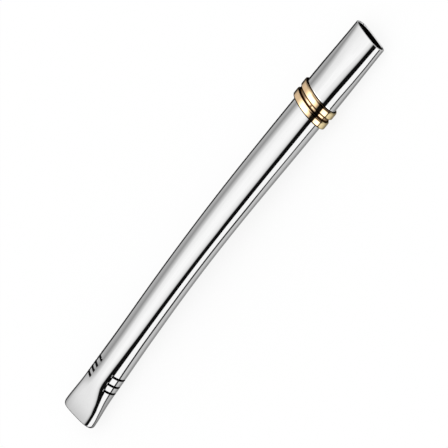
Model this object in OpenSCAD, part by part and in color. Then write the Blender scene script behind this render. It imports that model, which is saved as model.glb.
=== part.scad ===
// Bombilla: a metal drinking straw for mate, made from tubes pressed oval, with a slotted filter end.
// It lies as on a table: +X runs along it to the mouth, +Z is up out of its arched broad face.

/* [Stem] */
// length along the bent centre line, from the tip to the mouth
straw_length = 179.8; // [172:0.2:205]
// wall of the stem tube
stem_wall = 0.8; // [0.6:0.05:1]
// width of the stem where it is nearest to round
waist_width = 12.5; // [12:0.1:13.4]
// thickness of the stem where it is nearest to round
waist_thickness = 11.4; // [10.4:0.1:12]
// distance of that place from the tip
waist_station = 42; // [34:1:50]
// angle between the two ends of the stem
bend_angle = 6; // [3:0.5:9]
// distance from the tip to the start of the bend
bend_start = 51; // [44:1:60]
// length of the bend along the centre line
bend_length = 64; // [50:1:74]

/* [Filter end] */
// width of the flattened tip
paddle_width = 16.9; // [15.5:0.1:18]
// thickness of the flattened tip
paddle_thickness = 3; // [2.6:0.1:3.6]
// radius of the tip's two corners
paddle_corner = 1.2; // [1:0.1:2.4]
// angle by which the tip is ground off square
tip_skew = 6.5; // [0:0.5:8]
// distance from the tip at which the flattening starts
neck_station = 16.5; // [14:0.5:20]
// width of the tube where the flattening starts
neck_width = 14; // [13:0.1:14.6]
// thickness of the tube where the flattening starts
neck_thickness = 9.8; // [9:0.1:11]
// length of the brazed filling that closes the tip
seam_length = 3; // [2:0.5:4]
// width of a filter slot, the cut of a fine saw
slot_width = 0.95; // [0.5:0.05:1.1]
// distances of the slots on the near edge (-Y) from the tip
near_slots = [17.1, 20.1, 23.4]; // [14:0.1:26]
// depth of the slots on the near edge
near_slot_depth = 2; // [1.4:0.1:3]
// distances of the slots on the far edge (+Y) from the tip
far_slots = [17, 19.4, 21.7, 24.6]; // [14:0.1:26]
// depth of the slots on the far edge
far_slot_depth = 5.2; // [2:0.1:5.6]

/* [Mouthpiece] */
// width of the stem's top end, which the mouthpiece sleeves over
spigot_width = 15.7; // [15:0.1:16.8]
// thickness of the stem's top end
spigot_thickness = 7; // [6.4:0.1:7.8]
// length of the stem inside the mouthpiece
spigot_length = 10; // [8:0.5:14]
// wall of the mouthpiece
mouthpiece_wall = 0.4; // [0.35:0.05:0.6]
// length of the mouthpiece
mouthpiece_length = 35.2; // [30:0.1:42]
// width of the mouth
mouth_width = 15.8; // [15:0.1:17.4]
// thickness of the mouth
mouth_thickness = 5.6; // [4.6:0.1:6.2]
// wall at the mouth's two narrow ends, where the pressing thickens it
mouth_end_wall = 0.7; // [0.5:0.05:0.8]
// rounding of the mouth's rim
rim_round = 0.2; // [0.1:0.05:0.25]
// thickness of the solder film that seals the sleeve
solder_film = 0.05; // [0.03:0.01:0.1]

/* [Collar] */
// thickness of the brass band under the two rings
band_thickness = 0.25; // [0.15:0.05:0.4]
// radial thickness of a ring on the band
ring_thickness = 0.62; // [0.48:0.02:0.9]
// height of a ring along the straw
ring_height = 2.7; // [1.8:0.1:3]
// gap between the two rings
ring_gap = 1.6; // [1.2:0.1:2.6]
// bevel of a ring's outer edges
ring_bevel = 0.25; // [0.1:0.05:0.4]

/* [Hidden] */

steel = [0.78, 0.79, 0.80];
solder = [0.66, 0.67, 0.68];
brass = [0.86, 0.70, 0.42];

// Points round an oval section. They stand half a step off its axes,
// so a narrow flat faces straight up and another straight down.
sides = 40;
flat_share = cos(180 / sides);
// Squareness of a section: 1 gives an ellipse, and less gives flat faces with round ends.
elliptic = 1;
pressed = 0.42;

collar_station = straw_length - mouthpiece_length;
spigot_station = collar_station - 1;
spigot_end = collar_station + spigot_length;
collar_height = 2 * ring_height + ring_gap;
paddle_step = 1.2;
stem_step = 6;
mouth_step = 2.6;

function smooth(u) = u * u * (3 - 2 * u);
function mix(a, b, u) = a * (1 - u) + b * u;

// Centre line: straight, then an arc in the XZ plane, then straight.
bend_end = bend_start + bend_length;
end_slope = bend_angle / 2;
bend_radius = bend_length / (bend_angle * PI / 180);
bend_foot = bend_start * [cos(end_slope), sin(end_slope)];
bend_chord = 2 * bend_radius * sin(end_slope);
function slope_at(s) = end_slope - bend_angle * min(max((s - bend_start) / bend_length, 0), 1);
function line_at(s) =
    s < bend_start ? s * [cos(end_slope), sin(end_slope)] :
    s < bend_end ?
        let (a = slope_at(s))
        bend_foot + bend_radius * [sin(end_slope) - sin(a), cos(a) - cos(end_slope)] :
    bend_foot + [bend_chord, 0] + (s - bend_end) * [cos(end_slope), -sin(end_slope)];

// Sections of the stem and of the mouthpiece: station, width, thickness, squareness.
stem_sections = [
    [0, paddle_width, paddle_thickness, pressed],
    [paddle_corner, paddle_width, paddle_thickness, pressed],
    [neck_station, neck_width, neck_thickness, elliptic],
    [waist_station, waist_width, waist_thickness, elliptic],
    [spigot_station, spigot_width, spigot_thickness, elliptic],
    [spigot_end, spigot_width, spigot_thickness, elliptic]
];
sleeve_grow = 2 * (solder_film + mouthpiece_wall);
sleeve_width = spigot_width + sleeve_grow;
sleeve_thickness = spigot_thickness + sleeve_grow;
mouth_sections = [
    [collar_station, sleeve_width, sleeve_thickness, elliptic],
    [spigot_end, sleeve_width, sleeve_thickness, elliptic],
    [straw_length, mouth_width, mouth_thickness, pressed]
];
function row_before(table, s) = max([for (i = [0 : len(table) - 2]) if (table[i][0] <= s) i]);
function section_at(table, s) =
    let (i = row_before(table, s), a = table[i], b = table[i + 1], u = (s - a[0]) / (b[0] - a[0]))
    mix(a, b, smooth(min(u, 1)));

// The tip's corners are ground round, so the paddle is narrower at its very end.
function corner_cut(s) =
    s >= paddle_corner ? 0 : paddle_corner - sqrt(paddle_corner ^ 2 - (paddle_corner - s) ^ 2);

// One point of an oval section, and a ring of them set square to the centre line at station s.
function oval_point(half_w, half_t, squareness, turn) =
    let (face = cos(turn) / sqrt(cos(turn) ^ 2 + (squareness * sin(turn)) ^ 2))
    [(half_w - half_t) * face + half_t * cos(turn), half_t * sin(turn)];
function placed(s, p) =
    let (c = line_at(s), a = slope_at(s))
    [c[0] - p[1] * sin(a), p[0], c[1] + p[1] * cos(a)];
function oval_ring(s, half_w, half_t, squareness) =
    [for (i = [0 : sides - 1]) placed(s, oval_point(half_w, half_t, squareness, 360 * (i + 0.5) / sides))];

// The skewed tip fades out over the paddle, so the far edge (+Y) reaches further than the near one.
function skewed(s, ring) =
    let (pull = tan(tip_skew) * (1 - smooth(min(s / neck_station, 1))))
    [for (p = ring) [p[0] - pull * p[1], p[1], p[2]]];
function stem_ring(s, grow) =
    let (row = section_at(stem_sections, s))
    skewed(s, oval_ring(s, row[1] / 2 + grow - corner_cut(s), row[2] / 2 + grow, row[3]));
function mouth_ring(s, grow) =
    let (row = section_at(mouth_sections, s))
    oval_ring(s, row[1] / 2 + grow, row[2] / 2 + grow, row[3]);
function rim_ring(s) = mouth_ring(s, -rim_round);
function end_wall_at(s) =
    let (u = (s - spigot_end) / (straw_length - spigot_end))
    mix(mouthpiece_wall, mouth_end_wall, smooth(min(max(u, 0), 1)));
function mouth_bore_ring(s) =
    let (row = section_at(mouth_sections, s))
    oval_ring(s, row[1] / 2 - end_wall_at(s), row[2] / 2 - mouthpiece_wall, row[3]);
function spigot_ring(s, grow) =
    oval_ring(s, spigot_width / 2 + grow, spigot_thickness / 2 + grow, elliptic);
function collar_ring(s, grow) =
    oval_ring(s, sleeve_width / 2 + grow, sleeve_thickness / 2 + grow, elliptic);

// Stations at which the rings of a loft stand.
function steps(from, to, pitch) =
    let (count = ceil((to - from) / pitch))
    [for (i = [0 : count]) from + (to - from) * i / count];
corner_stations = [for (i = [0 : 3]) paddle_corner * (1 - cos(30 * i))];
seam_stations = concat(corner_stations, [seam_length]);
paddle_stations = steps(seam_length + paddle_step, neck_station, paddle_step);
bend_stations = steps(neck_station + stem_step, spigot_station, stem_step);
stem_stations = concat(seam_stations, paddle_stations, bend_stations, [spigot_end]);
mouth_stations = concat([collar_station], steps(spigot_end, straw_length - rim_round, mouth_step));
rim_spare = 0.5;
rim_stations = [straw_length, straw_length + rim_spare];

// The whole straw is lifted until its lowest ring or its filter end touches the table,
// and it is moved along X until it is centred.
ring_grow = band_thickness + ring_thickness;
ring_half_t = sleeve_thickness / 2 + ring_grow;
function bottom_at(s, half_t) = placed(s, [0, -flat_share * half_t])[2];
lowest_stem = min([for (s = stem_stations) bottom_at(s, section_at(stem_sections, s)[2] / 2)]);
lowest_ring = bottom_at(collar_station + collar_height - ring_bevel, ring_half_t);
rest_lift = -min(lowest_stem, lowest_ring);
tip_x = min([for (s = corner_stations) min([for (p = stem_ring(s, 0)) p[0]])]);
mouth_x = placed(straw_length, [0, flat_share * (mouth_thickness / 2 - rim_round)])[0];
rest_shift = -(tip_x + mouth_x) / 2;

module at_rest() {
    translate([rest_shift, 0, rest_lift]) children();
}

// Faces between the rings of a loft; the rings' points follow one another in a single list.
function skin_faces(first, rows) = [
    for (i = [0 : rows - 2])
    for (j = [0 : sides - 1])
    let (a = first + i * sides + j, b = first + i * sides + (j + 1) % sides)
    each [[a, a + sides, b], [b, a + sides, b + sides]]
];
function turned(faces) = [for (f = faces) [f[2], f[1], f[0]]];
function flat_list(rings) = [for (ring = rings) for (p = ring) p];

// A tube wall between outer and inner rings, with flat annular ends.
module tube_wall(outer, inner) {
    rows = len(outer);
    inner_first = rows * sides;
    outer_last = (rows - 1) * sides;
    inner_last = inner_first + (len(inner) - 1) * sides;
    start_faces = [
        for (j = [0 : sides - 1])
        let (k = (j + 1) % sides)
        each [[j, k, inner_first + j], [k, inner_first + k, inner_first + j]]
    ];
    end_faces = [
        for (j = [0 : sides - 1])
        let (k = (j + 1) % sides)
        each [
            [outer_last + j, inner_last + j, outer_last + k],
            [outer_last + k, inner_last + j, inner_last + k]
        ]
    ];
    polyhedron(
        points = flat_list(concat(outer, inner)),
        faces = concat(
            skin_faces(0, rows),
            turned(skin_faces(inner_first, len(inner))),
            start_faces,
            end_faces
        )
    );
}

// A solid bar through a list of rings, with flat ends.
module solid_bar(rings) {
    last = (len(rings) - 1) * sides;
    polyhedron(
        points = flat_list(rings),
        faces = concat(
            skin_faces(0, len(rings)),
            [[for (j = [0 : sides - 1]) j]],
            [[for (j = [0 : sides - 1]) last + sides - 1 - j]]
        )
    );
}

// A saw cut square to the stem, entering from one edge; side is -1 for the near edge and 1 for the far one.
module edge_slot(s, side, depth) {
    half_w = section_at(stem_sections, s)[1] / 2;
    centre = line_at(s);
    overcut = 1;
    translate([centre[0], side * (half_w - depth / 2 + overcut / 2), centre[1]])
        rotate([0, -slope_at(s), 0])
            cube([slot_width, depth + overcut, waist_thickness + 2 * overcut], center = true);
}

// Stainless tube: filter paddle, slots, gently bent stem, and the spigot inside the mouthpiece.
module stem_tube() {
    color(steel)
        at_rest()
            difference() {
                tube_wall(
                    [for (s = stem_stations) stem_ring(s, 0)],
                    [for (s = stem_stations) stem_ring(s, -stem_wall)]
                );
                for (s = near_slots) edge_slot(s, -1, near_slot_depth);
                for (s = far_slots) edge_slot(s, 1, far_slot_depth);
            }
}

// Braze that fills the slit of the flattened tip, so that only the slots let liquid in.
module tip_seam() {
    color(solder)
        at_rest()
            solid_bar([for (s = seam_stations) stem_ring(s, -stem_wall)]);
}

// Block beyond the mouth, which trims the rim flat and square to the centre line.
module mouth_trim() {
    end = line_at(straw_length);
    block = 2 * mouth_width;
    translate([end[0], 0, end[1]])
        rotate([0, -slope_at(straw_length), 0])
            translate([0, -block / 2, -block / 2])
                cube(block);
}

// Stainless mouthpiece, sleeved over the stem's top and pressed flatter to the mouth.
module mouthpiece() {
    color(steel)
        at_rest()
            difference() {
                tube_wall(
                    concat([for (s = mouth_stations) mouth_ring(s, 0)], [for (s = rim_stations) rim_ring(s)]),
                    [for (s = concat(mouth_stations, rim_stations)) mouth_bore_ring(s)]
                );
                mouth_trim();
            }
}

// Silver solder in the sleeve, between the spigot and the mouthpiece.
module joint_solder() {
    ends = [collar_station, spigot_end];
    color(solder)
        at_rest()
            tube_wall(
                [for (s = ends) spigot_ring(s, solder_film)],
                [for (s = ends) spigot_ring(s, 0)]
            );
}

// Thin brass band round the sleeve's foot; both rings sit on it.
module collar_band() {
    ends = [collar_station, collar_station + collar_height];
    color(brass)
        at_rest()
            tube_wall(
                [for (s = ends) collar_ring(s, band_thickness)],
                [for (s = ends) collar_ring(s, 0)]
            );
}

// One brass ring on the band, from station s upwards.
module band_ring(s) {
    profile = [[0, -ring_bevel], [ring_bevel, 0], [ring_height - ring_bevel, 0], [ring_height, -ring_bevel]];
    color(brass)
        at_rest()
            tube_wall(
                [for (p = profile) collar_ring(s + p[0], ring_grow + p[1])],
                [for (p = profile) collar_ring(s + p[0], band_thickness)]
            );
}

module lower_ring() {
    band_ring(collar_station);
}

module upper_ring() {
    band_ring(collar_station + ring_height + ring_gap);
}

stem_tube();
tip_seam();
mouthpiece();
joint_solder();
collar_band();
lower_ring();
upper_ring();
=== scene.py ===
import math

import bpy
import numpy as np
from mathutils import Matrix, Vector


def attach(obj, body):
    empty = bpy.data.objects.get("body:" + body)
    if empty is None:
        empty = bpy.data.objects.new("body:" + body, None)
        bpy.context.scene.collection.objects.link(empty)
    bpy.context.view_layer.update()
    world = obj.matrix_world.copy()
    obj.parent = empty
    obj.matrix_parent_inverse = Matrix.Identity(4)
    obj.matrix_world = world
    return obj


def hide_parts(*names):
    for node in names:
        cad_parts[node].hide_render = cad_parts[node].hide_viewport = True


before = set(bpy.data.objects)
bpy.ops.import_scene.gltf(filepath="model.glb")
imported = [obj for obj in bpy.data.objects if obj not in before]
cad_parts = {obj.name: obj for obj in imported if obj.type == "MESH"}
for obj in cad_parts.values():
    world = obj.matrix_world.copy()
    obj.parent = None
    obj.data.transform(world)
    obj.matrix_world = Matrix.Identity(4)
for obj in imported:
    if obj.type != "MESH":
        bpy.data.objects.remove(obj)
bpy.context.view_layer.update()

# Viewpoint. The straw lies on a white table and is seen from over its near edge, a little from the mouth's
# end, through a long lens that keeps its two sides almost parallel.
MM = 0.001  # lengths are in millimetres, and this makes them metres
EYE_DISTANCE_MM = 2500
EYE_ROUND = math.radians(37.17)
EYE_ALONG = math.radians(23.32)
PICTURE_TURN = math.radians(52.58)
PICTURE_WIDTH_MM = 154.06
SENSOR_MM = 36
FARTHEST_SEEN_M = 20
aim = Vector((0.09, 0, 5))  # in millimetres
to_eye = Vector((math.sin(EYE_ALONG), -math.sin(EYE_ROUND) * math.cos(EYE_ALONG),
                 math.cos(EYE_ROUND) * math.cos(EYE_ALONG)))
across = Vector((0, -math.cos(EYE_ROUND), -math.sin(EYE_ROUND)))
along = to_eye.cross(across)
picture_up = math.sin(PICTURE_TURN) * along - math.cos(PICTURE_TURN) * across
picture_right = math.cos(PICTURE_TURN) * along + math.sin(PICTURE_TURN) * across
FRAME_RIGHT_MM = 1.69
FRAME_UP_MM = 1.58
eye_mm = aim + EYE_DISTANCE_MM * to_eye + FRAME_RIGHT_MM * picture_right + FRAME_UP_MM * picture_up

lens = bpy.data.cameras.new("long_lens")
lens.sensor_width = SENSOR_MM
lens.lens = SENSOR_MM * EYE_DISTANCE_MM / PICTURE_WIDTH_MM
lens.clip_end = FARTHEST_SEEN_M
camera = bpy.data.objects.new("camera", lens)
bpy.context.scene.collection.objects.link(camera)
camera_turn = Matrix((picture_right, picture_up, to_eye)).transposed().to_4x4()
camera.matrix_world = Matrix.Translation(MM * eye_mm) @ camera_turn
bpy.context.scene.camera = camera
bpy.context.scene.view_settings.view_transform = "Standard"

# Stem. One stainless tube, bent a little, pressed flat to a paddle at its tip and oval towards its top.
# Fine saw cuts in both edges above the paddle let the drink in and keep the leaves out. The steel just round
# the far cuts takes the bore's near-black, a painted shade that widens their dark openings, and the file that
# took off the burr has dulled the upper ends of the near ones.
STRAW_LENGTH = 179.8
BEND_START, BEND_LENGTH, BEND_ANGLE = 51, 64, math.radians(6)
STEM_WALL = 0.8
TIP_CORNER, TIP_EDGE, TIP_SKEW, TIP_BOW = 1.8, 0.45, math.radians(8.5), 0.25  # of the ground end
NECK_STATION = 16.5
SPIGOT_STATION, SPIGOT_END = 143.6, 154.6
SPIGOT_WIDTH, SPIGOT_THICKNESS = 15.7, 7
ELLIPTIC, PRESSED = 1, 0.42
STEM_SECTIONS = (  # station, width, thickness, squareness
    (0, 16.9, 3, PRESSED),
    (TIP_CORNER, 16.9, 3, PRESSED),
    (NECK_STATION, 14, 9.8, ELLIPTIC),
    (42, 12.5, 11.4, ELLIPTIC),
    (SPIGOT_STATION, SPIGOT_WIDTH, SPIGOT_THICKNESS, ELLIPTIC),
    (SPIGOT_END, SPIGOT_WIDTH, SPIGOT_THICKNESS, ELLIPTIC),
)
SLOT_WIDTH = 0.95
NEAR_SLOTS = ((17.1, 1.7), (20.1, 1.85), (23.4, 1.85))  # station and depth of each cut
FAR_SLOTS = ((17.0, 5.2), (19.4, 5.2), (21.7, 5.2), (24.6, 5.2))
LIP_SHADE = 0.13  # how far the far cuts' painted shade reaches onto their lips
FILED_LIP = 0.26  # how far a file has dulled the steel round the near cuts' upper ends
ROUND_COUNT = 192  # points in each ring of a mesh
FINE_START, FINE_END, FINE_STEP, COARSE_STEP = 1.6, 26, 0.55, 1.5  # the mesh's rings, close by the cuts
CUT_CLEARANCE = 0.12  # no other ring comes closer to the edge of a cut
REST_SHIFT, REST_LIFT = -89.456, 4.032  # the straw's place on the table
turns = np.arange(ROUND_COUNT) * 2 * math.pi / ROUND_COUNT


def smooth(share):
    return share * share * (3 - 2 * share)


def slope_at(station):
    return BEND_ANGLE / 2 - BEND_ANGLE * min(max((station - BEND_START) / BEND_LENGTH, 0), 1)


def line_at(station):
    half = BEND_ANGLE / 2
    radius = BEND_LENGTH / BEND_ANGLE
    low = min(station, BEND_START)
    high = max(station - BEND_START - BEND_LENGTH, 0)
    now = slope_at(station)
    x = (low + high) * math.cos(half) + radius * (math.sin(half) - math.sin(now))
    z = (low - high) * math.sin(half) + radius * (math.cos(now) - math.cos(half))
    return x, z


def section_at(sections, station):
    for start, end in zip(sections, sections[1:]):
        if station <= end[0] or end is sections[-1]:
            share = smooth(min(max((station - start[0]) / (end[0] - start[0]), 0), 1))
            return [a + (b - a) * share for a, b in zip(start, end)]


def round_loss(station, radius):
    """How far a rounded edge has drawn back at a distance from the end."""
    return 0 if station >= radius else radius - math.sqrt(radius ** 2 - (radius - station) ** 2)


def oval_ring(station, half_width, half_thick, squareness, around=turns, skew=0.0):
    """Points of an oval section, square to the centre line, in millimetres."""
    face = np.cos(around) / np.sqrt(np.cos(around) ** 2 + (squareness * np.sin(around)) ** 2)
    y = (half_width - half_thick) * face + half_thick * np.cos(around)
    height = half_thick * np.sin(around)
    x, z = line_at(station)
    lean = slope_at(station)
    return np.stack([x - height * math.sin(lean) - skew * y + REST_SHIFT, y,
                     z + height * math.cos(lean) + REST_LIFT], 1)


def stem_ring(station, grow=0.0, around=turns):
    width, thick, squareness = section_at(STEM_SECTIONS, station)[1:]
    near_tip = 1 - smooth(min(station / NECK_STATION, 1))
    ring = oval_ring(station, width / 2 + grow - round_loss(station, TIP_CORNER), thick / 2 + grow,
                     squareness, around, near_tip * math.tan(TIP_SKEW))
    ring[:, 0] -= near_tip * TIP_BOW * (1 - (ring[:, 1] / (width / 2)) ** 2)
    return ring


def loft_faces(first, second, count=ROUND_COUNT):
    """Quads between two rings, given the number of each ring's first point."""
    return [(first + j, first + (j + 1) % count, second + (j + 1) % count, second + j) for j in range(count)]


def add_piece(name, points_mm, faces, inside_faces=(), sharp_angle=math.radians(35)):
    """A smooth mesh that keeps its edges crisp above an angle, made from points in millimetres.
    The inside faces take the piece's second material."""
    mesh = bpy.data.meshes.new(name)
    mesh.from_pydata((np.asarray(points_mm) * MM).tolist(), [], list(faces) + list(inside_faces))
    mesh.polygons.foreach_set("material_index", [0] * len(faces) + [1] * len(inside_faces))
    mesh.shade_smooth()
    mesh.set_sharp_from_angle(angle=sharp_angle)
    piece = bpy.data.objects.new(name, mesh)
    bpy.context.scene.collection.objects.link(piece)
    return piece


near_cuts, far_cuts = [[(s - SLOT_WIDTH / 2, s + SLOT_WIDTH / 2, depth) for s, depth in slots]
                       for slots in (NEAR_SLOTS, FAR_SLOTS)]
near_lips = [lip for low, high, _ in near_cuts
             for lip in ((low - FILED_LIP, low), (high, high + FILED_LIP))]
far_lip_shades = [lip_span for low, high, depth in far_cuts
              for lip_span in ((low - LIP_SHADE, low, depth), (high, high + LIP_SHADE, depth))]
slot_edges = [edge for cut in near_cuts + near_lips + far_cuts + far_lip_shades for edge in cut[:2]]
stem_stations = sorted(set(
    [TIP_EDGE * (1 - math.cos(math.radians(15 * i))) for i in range(7)]
    + [TIP_CORNER * (1 - math.cos(math.radians(10 * i))) for i in range(5, 10)]
    + list(np.arange(FINE_START, FINE_END, FINE_STEP))
    + slot_edges
    + list(np.arange(FINE_END, SPIGOT_STATION, COARSE_STEP))
    + [SPIGOT_STATION, SPIGOT_END]
))
stem_stations = [s for s in stem_stations
                 if s in slot_edges or not any(abs(s - e) < CUT_CLEARANCE for e in slot_edges)]
rows = len(stem_stations)
outer_rings = [stem_ring(s, -round_loss(s, TIP_EDGE)) for s in stem_stations]
inner_rings = [stem_ring(s, -STEM_WALL) for s in stem_stations]
stem_points = np.concatenate(outer_rings + inner_rings)


def slot_columns(station, depth, far):
    """Numbers of the points round the tube between which a saw cut is open."""
    half_width = section_at(STEM_SECTIONS, station)[1] / 2
    reach = round(math.acos(1 - depth / half_width) / (2 * math.pi / ROUND_COUNT))
    middle = 0 if far else ROUND_COUNT // 2
    return [(middle + j) % ROUND_COUNT for j in range(-reach, reach)]


# Open cells of the cuts, and cells round the far cuts that take the bore's near-black as painted shade
open_cells, lip_shade_cells = {}, {}
for cells, cuts, far in ((open_cells, near_cuts, False), (open_cells, far_cuts, True),
                         (lip_shade_cells, far_lip_shades, True)):
    for low, high, depth in cuts:
        for row in range(stem_stations.index(low), stem_stations.index(high)):
            cells.setdefault(row, set()).update(slot_columns((low + high) / 2, depth, far))

stem_faces, bore_faces = [], []
inner_first = rows * ROUND_COUNT
for row in range(rows - 1):
    shut = open_cells.get(row, set())
    lip_shade_row = lip_shade_cells.get(row, set())
    outer_row, inner_row = row * ROUND_COUNT, inner_first + row * ROUND_COUNT
    next_outer, next_inner = outer_row + ROUND_COUNT, inner_row + ROUND_COUNT
    for j, quad in enumerate(loft_faces(outer_row, next_outer)):
        if j not in shut:
            (bore_faces if j in lip_shade_row else stem_faces).append(quad)
    for j, quad in enumerate(loft_faces(inner_row, next_inner)):
        if j not in shut:
            bore_faces.append(quad[::-1])
    for j in shut:
        k = (j + 1) % ROUND_COUNT
        if j not in open_cells.get(row - 1, set()):
            bore_faces.append((outer_row + j, outer_row + k, inner_row + k, inner_row + j))
        if j not in open_cells.get(row + 1, set()):
            bore_faces.append((next_outer + k, next_outer + j, next_inner + j, next_inner + k))
        if (j - 1) % ROUND_COUNT not in shut:
            bore_faces.append((next_outer + j, outer_row + j, inner_row + j, next_inner + j))
        if k not in shut:
            bore_faces.append((outer_row + k, next_outer + k, next_inner + k, inner_row + k))
stem_faces += [quad[::-1] for quad in loft_faces(0, inner_first)]
stem_faces += loft_faces((rows - 1) * ROUND_COUNT, inner_first + (rows - 1) * ROUND_COUNT)
stem = add_piece("stem", stem_points, stem_faces, bore_faces)


def paint_points(piece, name, shares):
    """Gives each point of a piece a number that its material reads by name."""
    values = np.asarray(shares, np.float32)
    piece.data.attributes.new(name, "FLOAT", "POINT").data.foreach_set("value", values)


filed = np.zeros(len(stem_points))  # fully dull up to half of the reach, then fading out
for low, high, depth in near_cuts:
    end_column = min(slot_columns((low + high) / 2, depth, False))
    for row in range(stem_stations.index(low), stem_stations.index(high) + 1):
        away = np.linalg.norm(stem_points - outer_rings[row][end_column], axis=1)
        filed = np.maximum(filed, np.clip(2 * (1 - away / FILED_LIP), 0, 1))
paint_points(stem, "filed", filed)


def linear(colour):
    """An sRGB hex colour as linear red, green, blue and alpha."""
    parts = [int(colour[i:i + 2], 16) / 255 for i in (1, 3, 5)]
    return [p / 12.92 if p <= 0.04045 else ((p + 0.055) / 1.055) ** 2.4 for p in parts] + [1]


def add_node(tree, kind, inputs, **settings):
    """One shader node: settings are its options, inputs its numbers, colours and links. A mix of colours
    takes them as inputs 6 and 7 and gives output 2; a mix of numbers takes 2 and 3 and gives output 0."""
    made = tree.nodes.new(kind)
    for name, value in settings.items():
        setattr(made, name, value)
    for name, value in inputs.items():
        if isinstance(value, bpy.types.NodeSocket):
            tree.links.new(value, made.inputs[name])
        else:
            made.inputs[name].default_value = value
    return made


def new_tree(name):
    material = bpy.data.materials.new(name)
    material.use_nodes = True
    material.node_tree.nodes.clear()
    return material, material.node_tree


# Stainless steel, polished on a mop along the tube: a bright neutral mirror, with hairlines that soften it a
# little and slow waves from the hand, and a dull grey where it was filed. The hairlines are drawn 0.4 mm
# apart, where real ones are finer.
STEEL_LIGHT, STEEL_DARK = "#e7e7e7", "#dedede"
HAIRLINE_MM, HAIRLINE_LENGTH_MM = 0.4, 30
WAVE_MM = 9
FILED_ROUGHNESS = 0.6
mirror_steel, tree = new_tree("polished_stainless_steel")
place = add_node(tree, "ShaderNodeTexCoord", {})
stretched = add_node(tree, "ShaderNodeMapping", {
    "Vector": place.outputs["Object"],
    "Scale": (1 / (HAIRLINE_LENGTH_MM * MM), 1 / (HAIRLINE_MM * MM), 1 / (HAIRLINE_MM * MM))})
hairlines = add_node(tree, "ShaderNodeTexNoise", {
    "Vector": stretched.outputs["Vector"], "Scale": 1, "Detail": 3})
waves = add_node(tree, "ShaderNodeTexNoise", {
    "Vector": place.outputs["Object"], "Scale": 1 / (WAVE_MM * MM), "Detail": 1})
tone = add_node(tree, "ShaderNodeMix", {
    "Factor": hairlines.outputs["Fac"], 6: linear(STEEL_LIGHT), 7: linear(STEEL_DARK)}, data_type="RGBA")
gloss = add_node(tree, "ShaderNodeMapRange", {
    "Value": hairlines.outputs["Fac"], "From Min": 0.3, "From Max": 0.7, "To Min": 0.02, "To Max": 0.05})
hair_bump = add_node(tree, "ShaderNodeBump", {
    "Height": hairlines.outputs["Fac"], "Strength": 0.03, "Distance": 0.02 * MM})
filed_lip = add_node(tree, "ShaderNodeAttribute", {}, attribute_name="filed")
dulled = add_node(tree, "ShaderNodeMix", {
    0: filed_lip.outputs["Fac"], 2: gloss.outputs["Result"], 3: FILED_ROUGHNESS})
wave_bump = add_node(tree, "ShaderNodeBump", {
    "Height": waves.outputs["Fac"], "Strength": 0.3, "Distance": 0.04 * MM,
    "Normal": hair_bump.outputs["Normal"]})
surface = add_node(tree, "ShaderNodeBsdfPrincipled", {
    "Base Color": tone.outputs[2], "Metallic": 1.0, "Roughness": dulled.outputs[0],
    "Normal": wave_bump.outputs["Normal"]})
add_node(tree, "ShaderNodeOutputMaterial", {"Surface": surface.outputs["BSDF"]})

# Inside of a drawn tube and its saw cuts, never polished: painted nearly black, mostly painted shade for the
# unlit inside with some brown from tea, and with lengthwise draw marks about 0.5 mm apart.
BORE_LIGHT, BORE_DARK = "#211f1d", "#0e0d0d"
DRAW_MARK_MM = 0.5
shaded_bore, tree = new_tree("drawn_steel_bore_painted_shade")
place = add_node(tree, "ShaderNodeTexCoord", {})
stretched = add_node(tree, "ShaderNodeMapping", {
    "Vector": place.outputs["Object"],
    "Scale": (1 / (HAIRLINE_LENGTH_MM * MM), 1 / (DRAW_MARK_MM * MM), 1 / (DRAW_MARK_MM * MM))})
marks = add_node(tree, "ShaderNodeTexNoise", {"Vector": stretched.outputs["Vector"], "Scale": 1, "Detail": 2})
tone = add_node(tree, "ShaderNodeMix", {
    "Factor": marks.outputs["Fac"], 6: linear(BORE_LIGHT), 7: linear(BORE_DARK)}, data_type="RGBA")
surface = add_node(tree, "ShaderNodeBsdfPrincipled", {
    "Base Color": tone.outputs[2], "Metallic": 1.0, "Roughness": 0.45})
add_node(tree, "ShaderNodeOutputMaterial", {"Surface": surface.outputs["BSDF"]})

stem.data.materials.append(mirror_steel)
stem.data.materials.append(shaded_bore)
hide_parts("stem_tube")
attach(stem, "root")

# Tip seam. Silver braze that fills the slit of the flattened tip and is filed off flush, so the paddle is
# shut. It shows only in the tip's end, as a dull line slightly hollowed between the two steel lips.
SEAM_LENGTH = 3
SEAM_HOLLOW = 0.12
SEAM_SHARES = (0.05, 0.3, 0.55, 0.8, 1)  # rings of the end's face, from its middle to the lips
SEAM_STATIONS = (0.4, 0.8, TIP_CORNER, 2, SEAM_LENGTH)
seam_rings = []
for share in SEAM_SHARES:
    lip = stem_ring(0, -STEM_WALL)
    centre = lip.mean(0)
    hollow = np.array([SEAM_HOLLOW * (1 - share ** 2), 0, 0])
    seam_rings.append(centre + (lip - centre) * share + hollow)
seam_rings += [stem_ring(s, -STEM_WALL) for s in SEAM_STATIONS]
seam_count = len(seam_rings)
seam_faces = [quad for i in range(seam_count - 1)
              for quad in loft_faces(i * ROUND_COUNT, (i + 1) * ROUND_COUNT)]
seam_faces.append(tuple(range(ROUND_COUNT))[::-1])
seam_faces.append(tuple((seam_count - 1) * ROUND_COUNT + j for j in range(ROUND_COUNT)))
seam = add_piece("tip_braze", np.concatenate(seam_rings), seam_faces)

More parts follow.
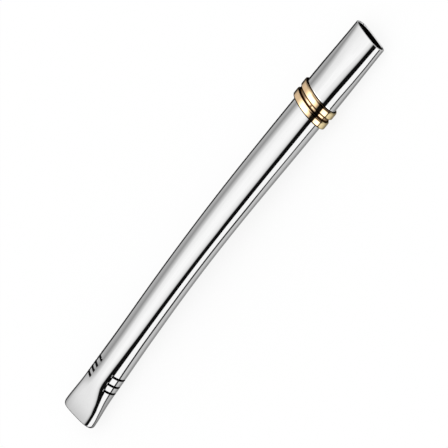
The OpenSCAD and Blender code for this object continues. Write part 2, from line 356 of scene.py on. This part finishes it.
# Silver solder, filed: a soft satin grey with file marks about 0.3 mm apart across the slit.
SOLDER_LIGHT, SOLDER_DARK = "#c9c8c4", "#9d9b96"
FILE_MARK_MM, FILE_MARK_STRETCH = 0.3, 8
filed_solder, tree = new_tree("filed_silver_solder")
place = add_node(tree, "ShaderNodeTexCoord", {})
stretched = add_node(tree, "ShaderNodeMapping", {
    "Vector": place.outputs["Object"],
    "Scale": (1 / (FILE_MARK_MM * MM), 1 / (FILE_MARK_MM * MM), 1 / (FILE_MARK_STRETCH * FILE_MARK_MM * MM))})
marks = add_node(tree, "ShaderNodeTexNoise", {"Vector": stretched.outputs["Vector"], "Scale": 1, "Detail": 2})
tone = add_node(tree, "ShaderNodeMix", {
    "Factor": marks.outputs["Fac"], 6: linear(SOLDER_LIGHT), 7: linear(SOLDER_DARK)}, data_type="RGBA")
gloss = add_node(tree, "ShaderNodeMapRange", {"Value": marks.outputs["Fac"], "To Min": 0.3, "To Max": 0.5})
bump = add_node(tree, "ShaderNodeBump", {
    "Height": marks.outputs["Fac"], "Strength": 0.3, "Distance": 0.03 * MM})
surface = add_node(tree, "ShaderNodeBsdfPrincipled", {
    "Base Color": tone.outputs[2], "Metallic": 1.0, "Roughness": gloss.outputs["Result"],
    "Normal": bump.outputs["Normal"]})
add_node(tree, "ShaderNodeOutputMaterial", {"Surface": surface.outputs["BSDF"]})
seam.data.materials.append(filed_solder)
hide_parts("tip_seam")
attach(seam, "root")

# Solder film. Silver solder, drawn in by heat between stem and mouthpiece, which seals their sleeve joint.
# Both tubes hide it, so the CAD piece itself stays and only takes the solder's surface.
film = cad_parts["joint_solder"]
film.data.materials.clear()
film.data.materials.append(filed_solder)

# Mouthpiece. A thinner stainless tube, sleeved over the stem's top and pressed flatter towards the mouth,
# with its rim trimmed square, rounded outside for the lips and countersunk inside.
COLLAR_STATION = 144.6
MOUTHPIECE_WALL, SOLDER_FILM = 0.4, 0.05
END_WALL, RIM_ROUND = 0.7, 0.2
FOOT_SKEW = math.tan(math.radians(2.3))  # the sleeve's foot and the collar on it sit slightly askew
LIP_WIDTH, LIP_DEPTH = 0.16, 0.4  # the countersink's step across the wall and its depth
MOUTH_WIDTH, MOUTH_THICKNESS = 15.8, 5.6
FIRST_MOUTH_RING, MOUTH_STEP = 146, 1.1  # the mesh's rings
sleeve_width = SPIGOT_WIDTH + 2 * (SOLDER_FILM + MOUTHPIECE_WALL)
sleeve_thickness = SPIGOT_THICKNESS + 2 * (SOLDER_FILM + MOUTHPIECE_WALL)
MOUTH_SECTIONS = (
    (COLLAR_STATION, sleeve_width, sleeve_thickness, ELLIPTIC),
    (SPIGOT_END, sleeve_width, sleeve_thickness, ELLIPTIC),
    (STRAW_LENGTH, MOUTH_WIDTH, MOUTH_THICKNESS, PRESSED),
)


def foot_skew(station):
    return -FOOT_SKEW * min(max((SPIGOT_END - station) / (SPIGOT_END - COLLAR_STATION), 0), 1)


def mouth_ring(station, grow=0.0, around=turns):
    width, thick, squareness = section_at(MOUTH_SECTIONS, station)[1:]
    return oval_ring(station, width / 2 + grow, thick / 2 + grow, squareness, around, foot_skew(station))


def bore_ring(station, grow=0.0):
    """The inside, whose wall is thickest at the mouth's two narrow ends."""
    width, thick, squareness = section_at(MOUTH_SECTIONS, station)[1:]
    share = min(max((station - SPIGOT_END) / (STRAW_LENGTH - SPIGOT_END), 0), 1)
    end_wall = MOUTHPIECE_WALL + (END_WALL - MOUTHPIECE_WALL) * smooth(share)
    return oval_ring(station, width / 2 - end_wall + grow, thick / 2 - MOUTHPIECE_WALL + grow, squareness,
                     skew=foot_skew(station))


def closed_lofts(count):
    """The quads between each of a number of rings and the next, and between the last ring and the first."""
    return [loft_faces(i * ROUND_COUNT, (i + 1) % count * ROUND_COUNT) for i in range(count)]


mouth_stations = [COLLAR_STATION]
mouth_stations += list(np.arange(FIRST_MOUTH_RING, STRAW_LENGTH - 2 * LIP_DEPTH, MOUTH_STEP))
rim_angles = [math.radians(15 * i) for i in range(7)]
outer_rings = [mouth_ring(s) for s in mouth_stations]
outer_rings += [mouth_ring(STRAW_LENGTH - RIM_ROUND * (1 - math.sin(a)), -RIM_ROUND * (1 - math.cos(a)))
                for a in rim_angles]
lip_rings = [bore_ring(STRAW_LENGTH - LIP_DEPTH * share, LIP_WIDTH * (1 - share)) for share in (0, 0.5, 1)]
inner_rings = lip_rings + [bore_ring(s) for s in mouth_stations[::-1]]
mouth_rings = outer_rings + inner_rings
mouth_lofts = closed_lofts(len(mouth_rings))
bore_starts = range(len(outer_rings) + len(lip_rings) - 1, len(mouth_rings) - 1)
mouth_faces = [quad for i, loft in enumerate(mouth_lofts) if i not in bore_starts for quad in loft]
bore_faces = [quad for i in bore_starts for quad in mouth_lofts[i]]
mouthpiece = add_piece("mouthpiece_tube", np.concatenate(mouth_rings), mouth_faces, bore_faces)
mouthpiece.data.materials.append(mirror_steel)
mouthpiece.data.materials.append(shaded_bore)
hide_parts("mouthpiece")
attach(mouthpiece, "root")

# Collar band. A thin brass strip, bent round the sleeve's foot and soldered on slightly askew, as is all of
# the collar. It shows only between the two rings. Its edges and both ends are painted dark brown, partly
# tarnish and partly painted shade where the rings shade the narrow gap, and its polished middle stays bright.
BAND_THICKNESS = 0.25
RING_HEIGHT, RING_GAP = 2.85, 1.6
collar_height = 2 * RING_HEIGHT + RING_GAP


def collar_ring(station, grow, around=turns):
    return oval_ring(station, sleeve_width / 2 + grow, sleeve_thickness / 2 + grow, ELLIPTIC, around,
                     -FOOT_SKEW)


def add_hoop(name, profile):
    """A closed hoop round the sleeve; the profile lists stations and how far each stands off the sleeve."""
    rings = [collar_ring(station, grow) for station, grow in profile]
    faces = [quad for loft in closed_lofts(len(rings)) for quad in loft]
    return add_piece(name, np.concatenate(rings), faces)


gap_start = COLLAR_STATION + RING_HEIGHT
collar_end = COLLAR_STATION + collar_height
band_tarnish_and_shade = (  # station, tarnish and painted shade
    (COLLAR_STATION, 1), (gap_start + 0.5, 1), (gap_start + 0.63, 0), (gap_start + 1.1, 0),
    (gap_start + 1.2, 0.9), (collar_end, 1))
band_ends = (  # degrees round from the far edge, tarnish and painted shade, with one dark speck
    (0, 0.9), (50, 0.85), (76, 0.6), (95, 0.1), (101, 0.1), (104, 0.9), (108, 0.9), (111, 0.1), (146, 0.1),
    (157, 0.35), (165, 0.7), (185, 0.8), (360, 0.9))
band_profile = [(s, BAND_THICKNESS) for s, _ in band_tarnish_and_shade]
band_profile += [(s, 0) for s, _ in band_tarnish_and_shade[::-1]]
band = add_hoop("brass_band", band_profile)

# Brass, rolled and polished: a pale gold mirror. Turning lines run round it, drawn 0.25 mm apart where real
# ones are finer. Its edges and feet take a thin dark brown, partly tarnish that the polishing mop can't reach
# and partly painted shade and painted dark reflection, which also dims their reflection at grazing angles.
BRASS_LIGHT, BRASS_DARK, BRASS_YELLOW, BRASS_TARNISH_AND_SHADE = "#efcfa8", "#e6c296", "#ead6a6", "#2e1c0d"
TURNING_MM, TURNING_STRETCH = 0.25, 20
polished_brass, tree = new_tree("polished_brass")
place = add_node(tree, "ShaderNodeTexCoord", {})
stretched = add_node(tree, "ShaderNodeMapping", {
    "Vector": place.outputs["Object"],
    "Scale": (1 / (TURNING_MM * MM), 1 / (TURNING_STRETCH * TURNING_MM * MM),
              1 / (TURNING_STRETCH * TURNING_MM * MM))})
lines = add_node(tree, "ShaderNodeTexNoise", {"Vector": stretched.outputs["Vector"], "Scale": 1, "Detail": 2})
tone = add_node(tree, "ShaderNodeMix", {
    "Factor": lines.outputs["Fac"], 6: linear(BRASS_LIGHT), 7: linear(BRASS_DARK)}, data_type="RGBA")
tint = add_node(tree, "ShaderNodeAttribute", {}, attribute_name="yellowed")
tinted = add_node(tree, "ShaderNodeMix", {
    "Factor": tint.outputs["Fac"], 6: tone.outputs[2], 7: linear(BRASS_YELLOW)}, data_type="RGBA")
# tarnish with painted shade and painted dark reflection, read from the pieces' points
tarnish_and_shade_mask = add_node(tree, "ShaderNodeAttribute", {}, attribute_name="tarnish_and_shade")
tarnished_and_shaded = add_node(tree, "ShaderNodeMix", {
    "Factor": tarnish_and_shade_mask.outputs["Fac"], 6: tinted.outputs[2], 7: linear(BRASS_TARNISH_AND_SHADE)}, data_type="RGBA")
gloss = add_node(tree, "ShaderNodeMapRange", {"Value": lines.outputs["Fac"], "To Min": 0.05, "To Max": 0.1})
bump = add_node(tree, "ShaderNodeBump", {
    "Height": lines.outputs["Fac"], "Strength": 0.03, "Distance": 0.01 * MM})
# the same painted shade also darkens the reflection's tint at grazing angles
slant_shade = add_node(tree, "ShaderNodeMix", {
    "Factor": tarnish_and_shade_mask.outputs["Fac"], 6: (1, 1, 1, 1), 7: linear(BRASS_TARNISH_AND_SHADE)}, data_type="RGBA")
surface = add_node(tree, "ShaderNodeBsdfPrincipled", {
    "Base Color": tarnished_and_shaded.outputs[2], "Metallic": 1.0, "Roughness": gloss.outputs["Result"],
    "Specular Tint": slant_shade.outputs[2], "Normal": bump.outputs["Normal"]})
add_node(tree, "ShaderNodeOutputMaterial", {"Surface": surface.outputs["BSDF"]})


def round_ring(table):
    """A row of values round a ring, from a table of degrees and values."""
    return np.interp(np.degrees(turns), *zip(*table))


def paint_rings(piece, name, shares):
    """Writes a share from 0 to 1 at each ring of points, as one number or a row of numbers round the ring."""
    paint_points(piece, name, np.concatenate([np.broadcast_to(share, ROUND_COUNT) for share in shares]))


# The outside takes tarnish and painted shade at its edges and ends; the hidden inside is dark.
band_outside = [np.maximum(tarnish, round_ring(band_ends)) for _, tarnish in band_tarnish_and_shade]
paint_rings(band, "tarnish_and_shade", band_outside + [1] * len(band_tarnish_and_shade))
band.data.materials.append(polished_brass)
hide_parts("collar_band")
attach(band, "root")

# Two rings. Flat brass rings pushed over the band and soldered, their outer edges broken with a file and
# their faces very slightly crowned by polishing. Handling has yellowed their near ends. Dark lines along
# their edges and feet are partly tarnish and partly painted shade, with a painted shadow where their tops
# meet the tube, and their top edges on the near side are painted dark as a painted reflection.
RING_THICKNESS, RING_BREAK, RING_CROWN = 0.62, 0.35, 0.01
RING_FOOT = 0.2  # how far up a ring's two sides its foot keeps the full tarnish and painted shade
FACE_SHARES = (0.95, 0.88, 0.8, 0.43, 0)  # points of the face, from its edge to its middle
ring_top = BAND_THICKNESS + RING_THICKNESS
half_height = RING_HEIGHT / 2
break_angles = [math.radians(15 * i) for i in range(7)]
ring_profile = [(0, BAND_THICKNESS), (0, BAND_THICKNESS + RING_FOOT)]
ring_profile += [(RING_BREAK * (1 - math.cos(a)), ring_top - RING_BREAK * (1 - math.sin(a)))
                 for a in break_angles]
ring_profile += [(half_height - (half_height - RING_BREAK) * k, ring_top + RING_CROWN * (1 - k * k))
                 for k in FACE_SHARES]
ring_profile += [(RING_HEIGHT - s, g) for s, g in ring_profile[-2::-1]]
yellowed = round_ring((
    (0, 0.1), (60, 0), (84, 0.3), (100, 0.1), (150, 0.2), (160, 1), (200, 1), (240, 0), (360, 0.1)))
# painted dark reflection on the near side of the rings' top edges
near_edge_dark_reflection = round_ring(((0, 0.1), (112, 0.1), (122, 0.9), (156, 0.9), (166, 0.1), (360, 0.1)))
# painted shadow where a ring's top side meets the tube, lighter over part of the far side
joint_shadow = round_ring(((0, 0.9), (50, 0.9), (66, 0.4), (80, 0.4), (90, 0.9), (360, 0.9)))
# painted shade lines at the feet and along the faces' edges, partly tarnish and partly painted dark
# reflection
foot_line = round_ring(((0, 1), (160, 1), (167, 0.15), (200, 0.15), (215, 1), (360, 1)))
foot_rise = round_ring(((0, 0.7), (108, 0.7), (114, 1), (158, 1), (166, 0.1), (360, 0.1)))
lower_line = round_ring(((0, 0.1), (104, 0.2), (112, 0.75), (118, 1), (158, 1), (166, 0.2), (360, 0.1)))
upper_line = round_ring((
    (0, 0.1), (60, 0.2), (75, 0.4), (88, 0.5), (95, 0.8), (112, 0.9), (118, 1), (158, 1), (166, 0.2),
    (360, 0.1)))
for node, station, foot_edge, edge_line in (
        ("lower_ring", COLLAR_STATION, [foot_line, foot_rise, 0, 0], lower_line),
        ("upper_ring", COLLAR_STATION + RING_HEIGHT + RING_GAP, [0.2 * foot_line, 0, 0, 0], upper_line)):
    ring = add_hoop("brass_" + node, [(station + s, g) for s, g in ring_profile])
    face_edge = [0, edge_line ** 2, edge_line, edge_line, 0.9 * edge_line]
    face_edge += [np.maximum(0.5 * edge_line, near_edge_dark_reflection)] + [near_edge_dark_reflection] * 5
    paint_rings(ring, "tarnish_and_shade", [1, 1] + [foot_line] * 7 + foot_edge + [0] + face_edge + [joint_shadow, 1])
    paint_rings(ring, "yellowed", [yellowed] * len(ring_profile))
    ring.data.materials.append(polished_brass)
    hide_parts(node)
    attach(ring, "root")

# Table. A plain sheet of white paper, lit also from behind, so the straw's soft shadow on it stays faint.
# It lies a hair under the straw, and the metal doesn't mirror it.
FLOOR_HALF, FLOOR_DROP = 3.0, 0.00003  # in metres
SHADOW_SHARE = 0.15
floor_corners = ((-FLOOR_HALF, -FLOOR_HALF), (FLOOR_HALF, -FLOOR_HALF), (FLOOR_HALF, FLOOR_HALF),
                 (-FLOOR_HALF, FLOOR_HALF))
floor_mesh = bpy.data.meshes.new("floor")
floor_mesh.from_pydata([(x, y, -FLOOR_DROP) for x, y in floor_corners], [], [(0, 1, 2, 3)])
floor = bpy.data.objects.new("floor", floor_mesh)
bpy.context.scene.collection.objects.link(floor)
white_sheet, tree = new_tree("white_paper_sheet")
path = add_node(tree, "ShaderNodeLightPath", {})
paper = add_node(tree, "ShaderNodeBsdfDiffuse", {"Color": linear("#ffffff")})
backlit = add_node(tree, "ShaderNodeEmission", {"Color": linear("#ffffff"), "Strength": 1.0})
seen = add_node(tree, "ShaderNodeMath", {
    0: path.outputs["Is Camera Ray"], 1: 1 - SHADOW_SHARE}, operation="MULTIPLY")
sheet = add_node(tree, "ShaderNodeMixShader", {
    "Fac": seen.outputs["Value"], 1: paper.outputs["BSDF"], 2: backlit.outputs["Emission"]})
add_node(tree, "ShaderNodeOutputMaterial", {"Surface": sheet.outputs["Shader"]})
floor_mesh.materials.append(white_sheet)
floor.visible_glossy = False

# Studio. A white tent all round: a broad soft light above, a grey wall behind the straw, a dark gap under
# that wall, the table's grey below, and a pale end wall past the mouth. The level is that of a plain white
# page.
SOFTBOX, TENT_GREY, TENT_GAP, TABLE_GREY = 1.22, 0.45, 0.05, 0.42
MOUTH_END = 0.75
MOUTHWARD_START, MOUTHWARD_FULL = 0.1, 0.35  # how far mouthward a direction points where the end wall is
TENT = (  # angle round the straw from straight up, positive towards the near side, and brightness
    (-180, TABLE_GREY), (-147, TABLE_GREY), (-142, TENT_GAP), (-99, TENT_GAP), (-95, 0.5), (-63, TENT_GREY),
    (-44, 1.05), (-30, SOFTBOX), (112, SOFTBOX), (122, 0.55), (180, TABLE_GREY))
world = bpy.data.worlds.new("white_tent")
bpy.context.scene.world = world
world.use_nodes = True
tree = world.node_tree
tree.nodes.clear()
place = add_node(tree, "ShaderNodeTexCoord", {})
parts = add_node(tree, "ShaderNodeSeparateXYZ", {"Vector": place.outputs["Generated"]})
near = add_node(tree, "ShaderNodeMath", {0: parts.outputs["Y"], 1: -1.0}, operation="MULTIPLY")
angle = add_node(tree, "ShaderNodeMath", {
    0: near.outputs["Value"], 1: parts.outputs["Z"]}, operation="ARCTAN2")
spread = add_node(tree, "ShaderNodeMapRange", {
    "Value": angle.outputs["Value"], "From Min": -math.pi, "From Max": math.pi})
ramp = add_node(tree, "ShaderNodeValToRGB", {"Fac": spread.outputs["Result"]})
stops = ramp.color_ramp.elements
while len(stops) < len(TENT):
    stops.new(0.5)
for stop, (degrees, level) in zip(stops, TENT):
    stop.position = degrees / 360 + 0.5
    stop.color = (level, level, level, 1)
mouthward = add_node(tree, "ShaderNodeMapRange", {
    "Value": parts.outputs["X"], "From Min": MOUTHWARD_START, "From Max": MOUTHWARD_FULL},
    interpolation_type="SMOOTHSTEP")
mirrored = add_node(tree, "ShaderNodeMix", {
    "Factor": mouthward.outputs["Result"], 6: ramp.outputs["Color"], 7: (MOUTH_END, MOUTH_END, MOUTH_END, 1)},
    data_type="RGBA")
path = add_node(tree, "ShaderNodeLightPath", {})
shiny = add_node(tree, "ShaderNodeMath", {
    0: path.outputs["Is Glossy Ray"], 1: path.outputs["Is Transmission Ray"]}, operation="MAXIMUM")
shown = add_node(tree, "ShaderNodeMix", {
    "Factor": shiny.outputs["Value"], 6: (1, 1, 1, 1), 7: mirrored.outputs[2]}, data_type="RGBA")
sky = add_node(tree, "ShaderNodeBackground", {"Color": shown.outputs[2], "Strength": 1.0})
add_node(tree, "ShaderNodeOutputWorld", {"Surface": sky.outputs["Background"]})

# Cards. Paper strips along the straw draw the long lines in the metal: a grey one behind it, a dark feathered
# one, a grey one with a dark edge in front, a bright striped one for the brass and a low one at the tip. All
# but the low one stand where the straw mirrors them to the eye, at shares of its visible width.
CARD_REACH = (  # station, distance from the straw
    (0, 3), (6, 3.5), (12, 5), (18, 9), (30, 25), (160, 25), (180, 12))
COLLAR_REACH = ((0, 5),)
CARD_STEP = 0.8
CARD_SPLIT = 4  # rows of quads from one line to the next
OVERHANG, COLLAR_OVERHANG, MOUTH_OVERHANG = 1.5, 0.1, 30
PADDLE_TOP, ROUND_STEM = 11, 23  # between them the paddle's levels turn into the stem's
CARD_LIGHT = (  # station, share of light on the cards
    (0, 0.7), (3, 0.84), (6, 0.95), (10, 1), (145, 1), (165, 0.93))
FACING_COUNT = 2881  # points looked at round a section
SLOPE_STEP = 0.02
FACING = np.linspace(0, 2 * math.pi, FACING_COUNT)
eye = np.array(eye_mm)
across_eye = np.array(across)


def mirrored_points(ring_of, reach, station, shares):
    """Where the light comes from that the straw sends to the eye at shares of its visible width."""
    inside = min(max(station, OVERHANG), STRAW_LENGTH - SLOPE_STEP)
    ring = ring_of(inside, 0.0, FACING)
    around = np.gradient(ring, axis=0)
    forward = ring_of(inside + SLOPE_STEP, 0.0, FACING) - ring_of(inside - SLOPE_STEP, 0.0, FACING)
    normal = np.cross(around, forward)
    normal /= np.linalg.norm(normal, axis=1)[:, None]
    if (normal * (ring - ring.mean(0))).sum() < 0:
        normal = -normal
    to_camera = eye - ring
    to_camera /= np.linalg.norm(to_camera, axis=1)[:, None]
    facing = (normal * to_camera).sum(1)
    sent = ring + np.interp(station, *zip(*reach)) * (2 * facing[:, None] * normal - to_camera)
    lit = np.flatnonzero(facing > 0)
    order = lit[np.argsort(ring[lit] @ across_eye)]
    width = ring[order] @ across_eye
    place = (width - width[0]) / (width[-1] - width[0])
    past_end = (station - inside) * np.array([math.cos(slope_at(inside)), 0, math.sin(slope_at(inside))])
    return np.stack([np.interp(shares, place, sent[order, k]) for k in range(3)], 1) + past_end


def stand_card(name, points, faces, glow):
    """A card that only shiny surfaces see, with its brightness at each point."""
    card = add_piece(name, points, faces)
    paint_points(card, "glow", glow)
    card.data.materials.append(card_paper)
    card.visible_camera = card.visible_diffuse = card.visible_shadow = False


def add_card(name, reach, runs, lines, levels, tip_levels):
    """A strip mirrored between lines along the straw, over runs of stations on surfaces. Each row of lines
    gives a station and the lines' shares there; levels and tip_levels give the strip's brightness on each
    line, by stem and by paddle."""
    table = np.array(lines)
    columns = range(len(levels))
    split = np.linspace(0, len(levels) - 1, CARD_SPLIT * (len(levels) - 1) + 1)
    count = len(split)
    stops = [(ring_of, station) for ring_of, first, last in runs
             for station in np.linspace(first, last, round((last - first) / CARD_STEP) + 1)]
    points, glow = [], []
    for ring_of, station in stops:
        shares = [np.interp(station, table[:, 0], column) for column in table[:, 1:].T]
        points.append(mirrored_points(ring_of, reach, station, np.interp(split, columns, shares)))
        on_stem = smooth(min(max((station - PADDLE_TOP) / (ROUND_STEM - PADDLE_TOP), 0), 1))
        level = np.array(tip_levels) + on_stem * (np.array(levels) - np.array(tip_levels))
        light = np.interp(split, columns, level) * np.interp(station, *zip(*CARD_LIGHT))
        past_mouth = smooth(min(max((station - STRAW_LENGTH) / MOUTH_OVERHANG, 0), 1))
        glow.append(light + past_mouth * (MOUTH_END - light))
    faces = [(count * i + j, count * i + j + 1, count * (i + 1) + j + 1, count * (i + 1) + j)
             for i in range(len(stops) - 1) for j in range(count - 1)]
    stand_card(name, np.concatenate(points), faces, np.concatenate(glow))


card_paper, tree = new_tree("lit_card_paper")
glow = add_node(tree, "ShaderNodeAttribute", {}, attribute_name="glow")
lit_paper = add_node(tree, "ShaderNodeEmission", {"Color": (1, 1, 1, 1), "Strength": glow.outputs["Fac"]})
add_node(tree, "ShaderNodeOutputMaterial", {"Surface": lit_paper.outputs["Emission"]})
EDGE_BLUR, GREY_BLUR, FEATHER, DARK_START = 0.012, 0.045, 0.03, 0.004  # shares over which edges change
NEAR_OUTLINE = 0.965  # share where the grey towards the near edge is almost at its darkest
far_lines = (  # station, then shares of the dark edge's end, the deepest grey, its soft end, the last trace
    (0, 0.03, 0.11, 0.17, 0.72), (3.4, 0.03, 0.10, 0.16, 0.71), (5.6, 0.03, 0.10, 0.16, 0.69),
    (7.9, 0.03, 0.10, 0.16, 0.66), (10.2, 0.03, 0.11, 0.17, 0.61), (12.4, 0.03, 0.125, 0.185, 0.57),
    (14.5, 0.03, 0.145, 0.215, 0.51),
    (16.6, 0.03, 0.16, 0.237, 0.47), (20, 0.035, 0.165, 0.245, 0.44), (27, 0.04, 0.17, 0.245, 0.43),
    (45, 0.04, 0.165, 0.24, 0.41), (60, 0.037, 0.155, 0.235, 0.40), (90, 0.033, 0.13, 0.21, 0.38),
    (120, 0.03, 0.125, 0.195, 0.36), (157, 0.033, 0.125, 0.205, 0.38), (165, 0.03, 0.115, 0.175, 0.36),
    (172, 0.03, 0.085, 0.135, 0.33), (180, 0.03, 0.05, 0.095, 0.3))
dark_lines = (  # station, then the shares where the feather starts and where the dark starts and ends
    (0, 0.70, 0.777, 0.848), (3.4, 0.69, 0.776, 0.842), (5.6, 0.67, 0.768, 0.839),
    (7.9, 0.64, 0.742, 0.832), (10.2, 0.59, 0.721, 0.807), (12.4, 0.55, 0.681, 0.783),
    (14.5, 0.49, 0.628, 0.756), (16.6, 0.45, 0.573, 0.738), (18.6, 0.43, 0.554, 0.69),
    (23.6, 0.435, 0.561, 0.69), (28.6, 0.44, 0.574, 0.694), (42, 0.465, 0.608, 0.71),
    (60, 0.48, 0.63, 0.727), (90, 0.50, 0.65, 0.74), (106, 0.495, 0.645, 0.738), (121, 0.49, 0.638, 0.731),
    (142, 0.48, 0.627, 0.727), (153, 0.495, 0.645, 0.744), (157, 0.50, 0.647, 0.747),
    (165, 0.53, 0.668, 0.771), (172, 0.57, 0.689, 0.786), (180, 0.60, 0.704, 0.802))
near_lines = (  # station, then the shares of the dark edge's two sides
    (0, 0.938, 0.955), (4, 0.932, 0.95), (7, 0.914, 0.934), (10, 0.9, 0.922), (13, 0.876, 0.902),
    (20, 0.845, 0.879), (27, 0.832, 0.868), (40, 0.824, 0.86), (60, 0.836, 0.871), (75, 0.838, 0.871),
    (90, 0.842, 0.876), (105, 0.848, 0.882), (120, 0.84, 0.864), (140, 0.842, 0.866), (153, 0.857, 0.881),
    (157, 0.857, 0.881), (165, 0.879, 0.903), (172, 0.891, 0.915), (180, 0.886, 0.91))
steel_runs = (  # surface, first station, last station
    (stem_ring, -OVERHANG, COLLAR_STATION),
    (mouth_ring, collar_end, STRAW_LENGTH + MOUTH_OVERHANG))
add_card("far_card", CARD_REACH, steel_runs,
         [(s, 0, edge, edge + EDGE_BLUR, deep, end, end + GREY_BLUR, last)
          for s, edge, deep, end, last in far_lines],
         (0.03, 0.03, 0.60, 0.36, 0.75, 1.06, SOFTBOX), (0.1, 0.1, 0.6, 0.9, 0.95, 1.0, 1.05))
add_card("dark_card", CARD_REACH, steel_runs,
         [(s, fade, (fade + left) / 2, left - FEATHER, left - EDGE_BLUR, left + DARK_START, right)
          for s, fade, left, right in dark_lines],
         (SOFTBOX, 1.10, 0.88, 0.62, 0.005, 0.005), (1.05, 1.0, 0.85, 0.6, 0.005, 0.005))
add_card("near_card", CARD_REACH, steel_runs,
         [(s, left, right, right + EDGE_BLUR, (right + 1) / 2, NEAR_OUTLINE, 1)
          for s, left, right in near_lines],
         (0.03, 0.03, 0.75, 0.62, 0.36, 0.30), (0.1, 0.1, 0.5, 0.46, 0.34, 0.3))
collar_levels = (  # share, brightness
    (0, 0.05), (0.025, 0.05), (0.05, 0.7), (0.10, 0.85), (0.17, 0.85), (0.22, 1.25), (0.26, 2.0),
    (0.30, 3.0), (0.46, 3.0), (0.50, 1.9), (0.54, 1.2), (0.58, 0.45), (0.595, 0.01), (0.695, 0.005),
    (0.712, 2.2), (0.78, 3.0), (0.835, 2.4), (0.845, 0.2), (0.865, 0.2), (0.875, 1.1), (0.94, 0.75),
    (0.97, 0.35), (1, 0.25))
shares, levels = zip(*collar_levels)


def ring_face(station, grow, around):
    return collar_ring(station, ring_top + grow, around)


add_card("collar_card", COLLAR_REACH,
         ((ring_face, COLLAR_STATION - COLLAR_OVERHANG, collar_end + COLLAR_OVERHANG),),
         [(COLLAR_STATION, *shares)], levels, levels)

TIP_CARD_GAP, TIP_CARD_GLOW = 7, 0.02
TIP_CARD_NEAR, TIP_CARD_FAR, TIP_CARD_FOOT, TIP_CARD_TOP = -16, 24, -1, 10
tip_card_x = REST_SHIFT - TIP_CARD_GAP
tip_card_corners = [(tip_card_x, TIP_CARD_NEAR, TIP_CARD_FOOT), (tip_card_x, TIP_CARD_FAR, TIP_CARD_FOOT),
                    (tip_card_x, TIP_CARD_FAR, TIP_CARD_TOP), (tip_card_x, TIP_CARD_NEAR, TIP_CARD_TOP)]
stand_card("tip_card", tip_card_corners, [(0, 1, 2, 3)], [TIP_CARD_GLOW] * 4)
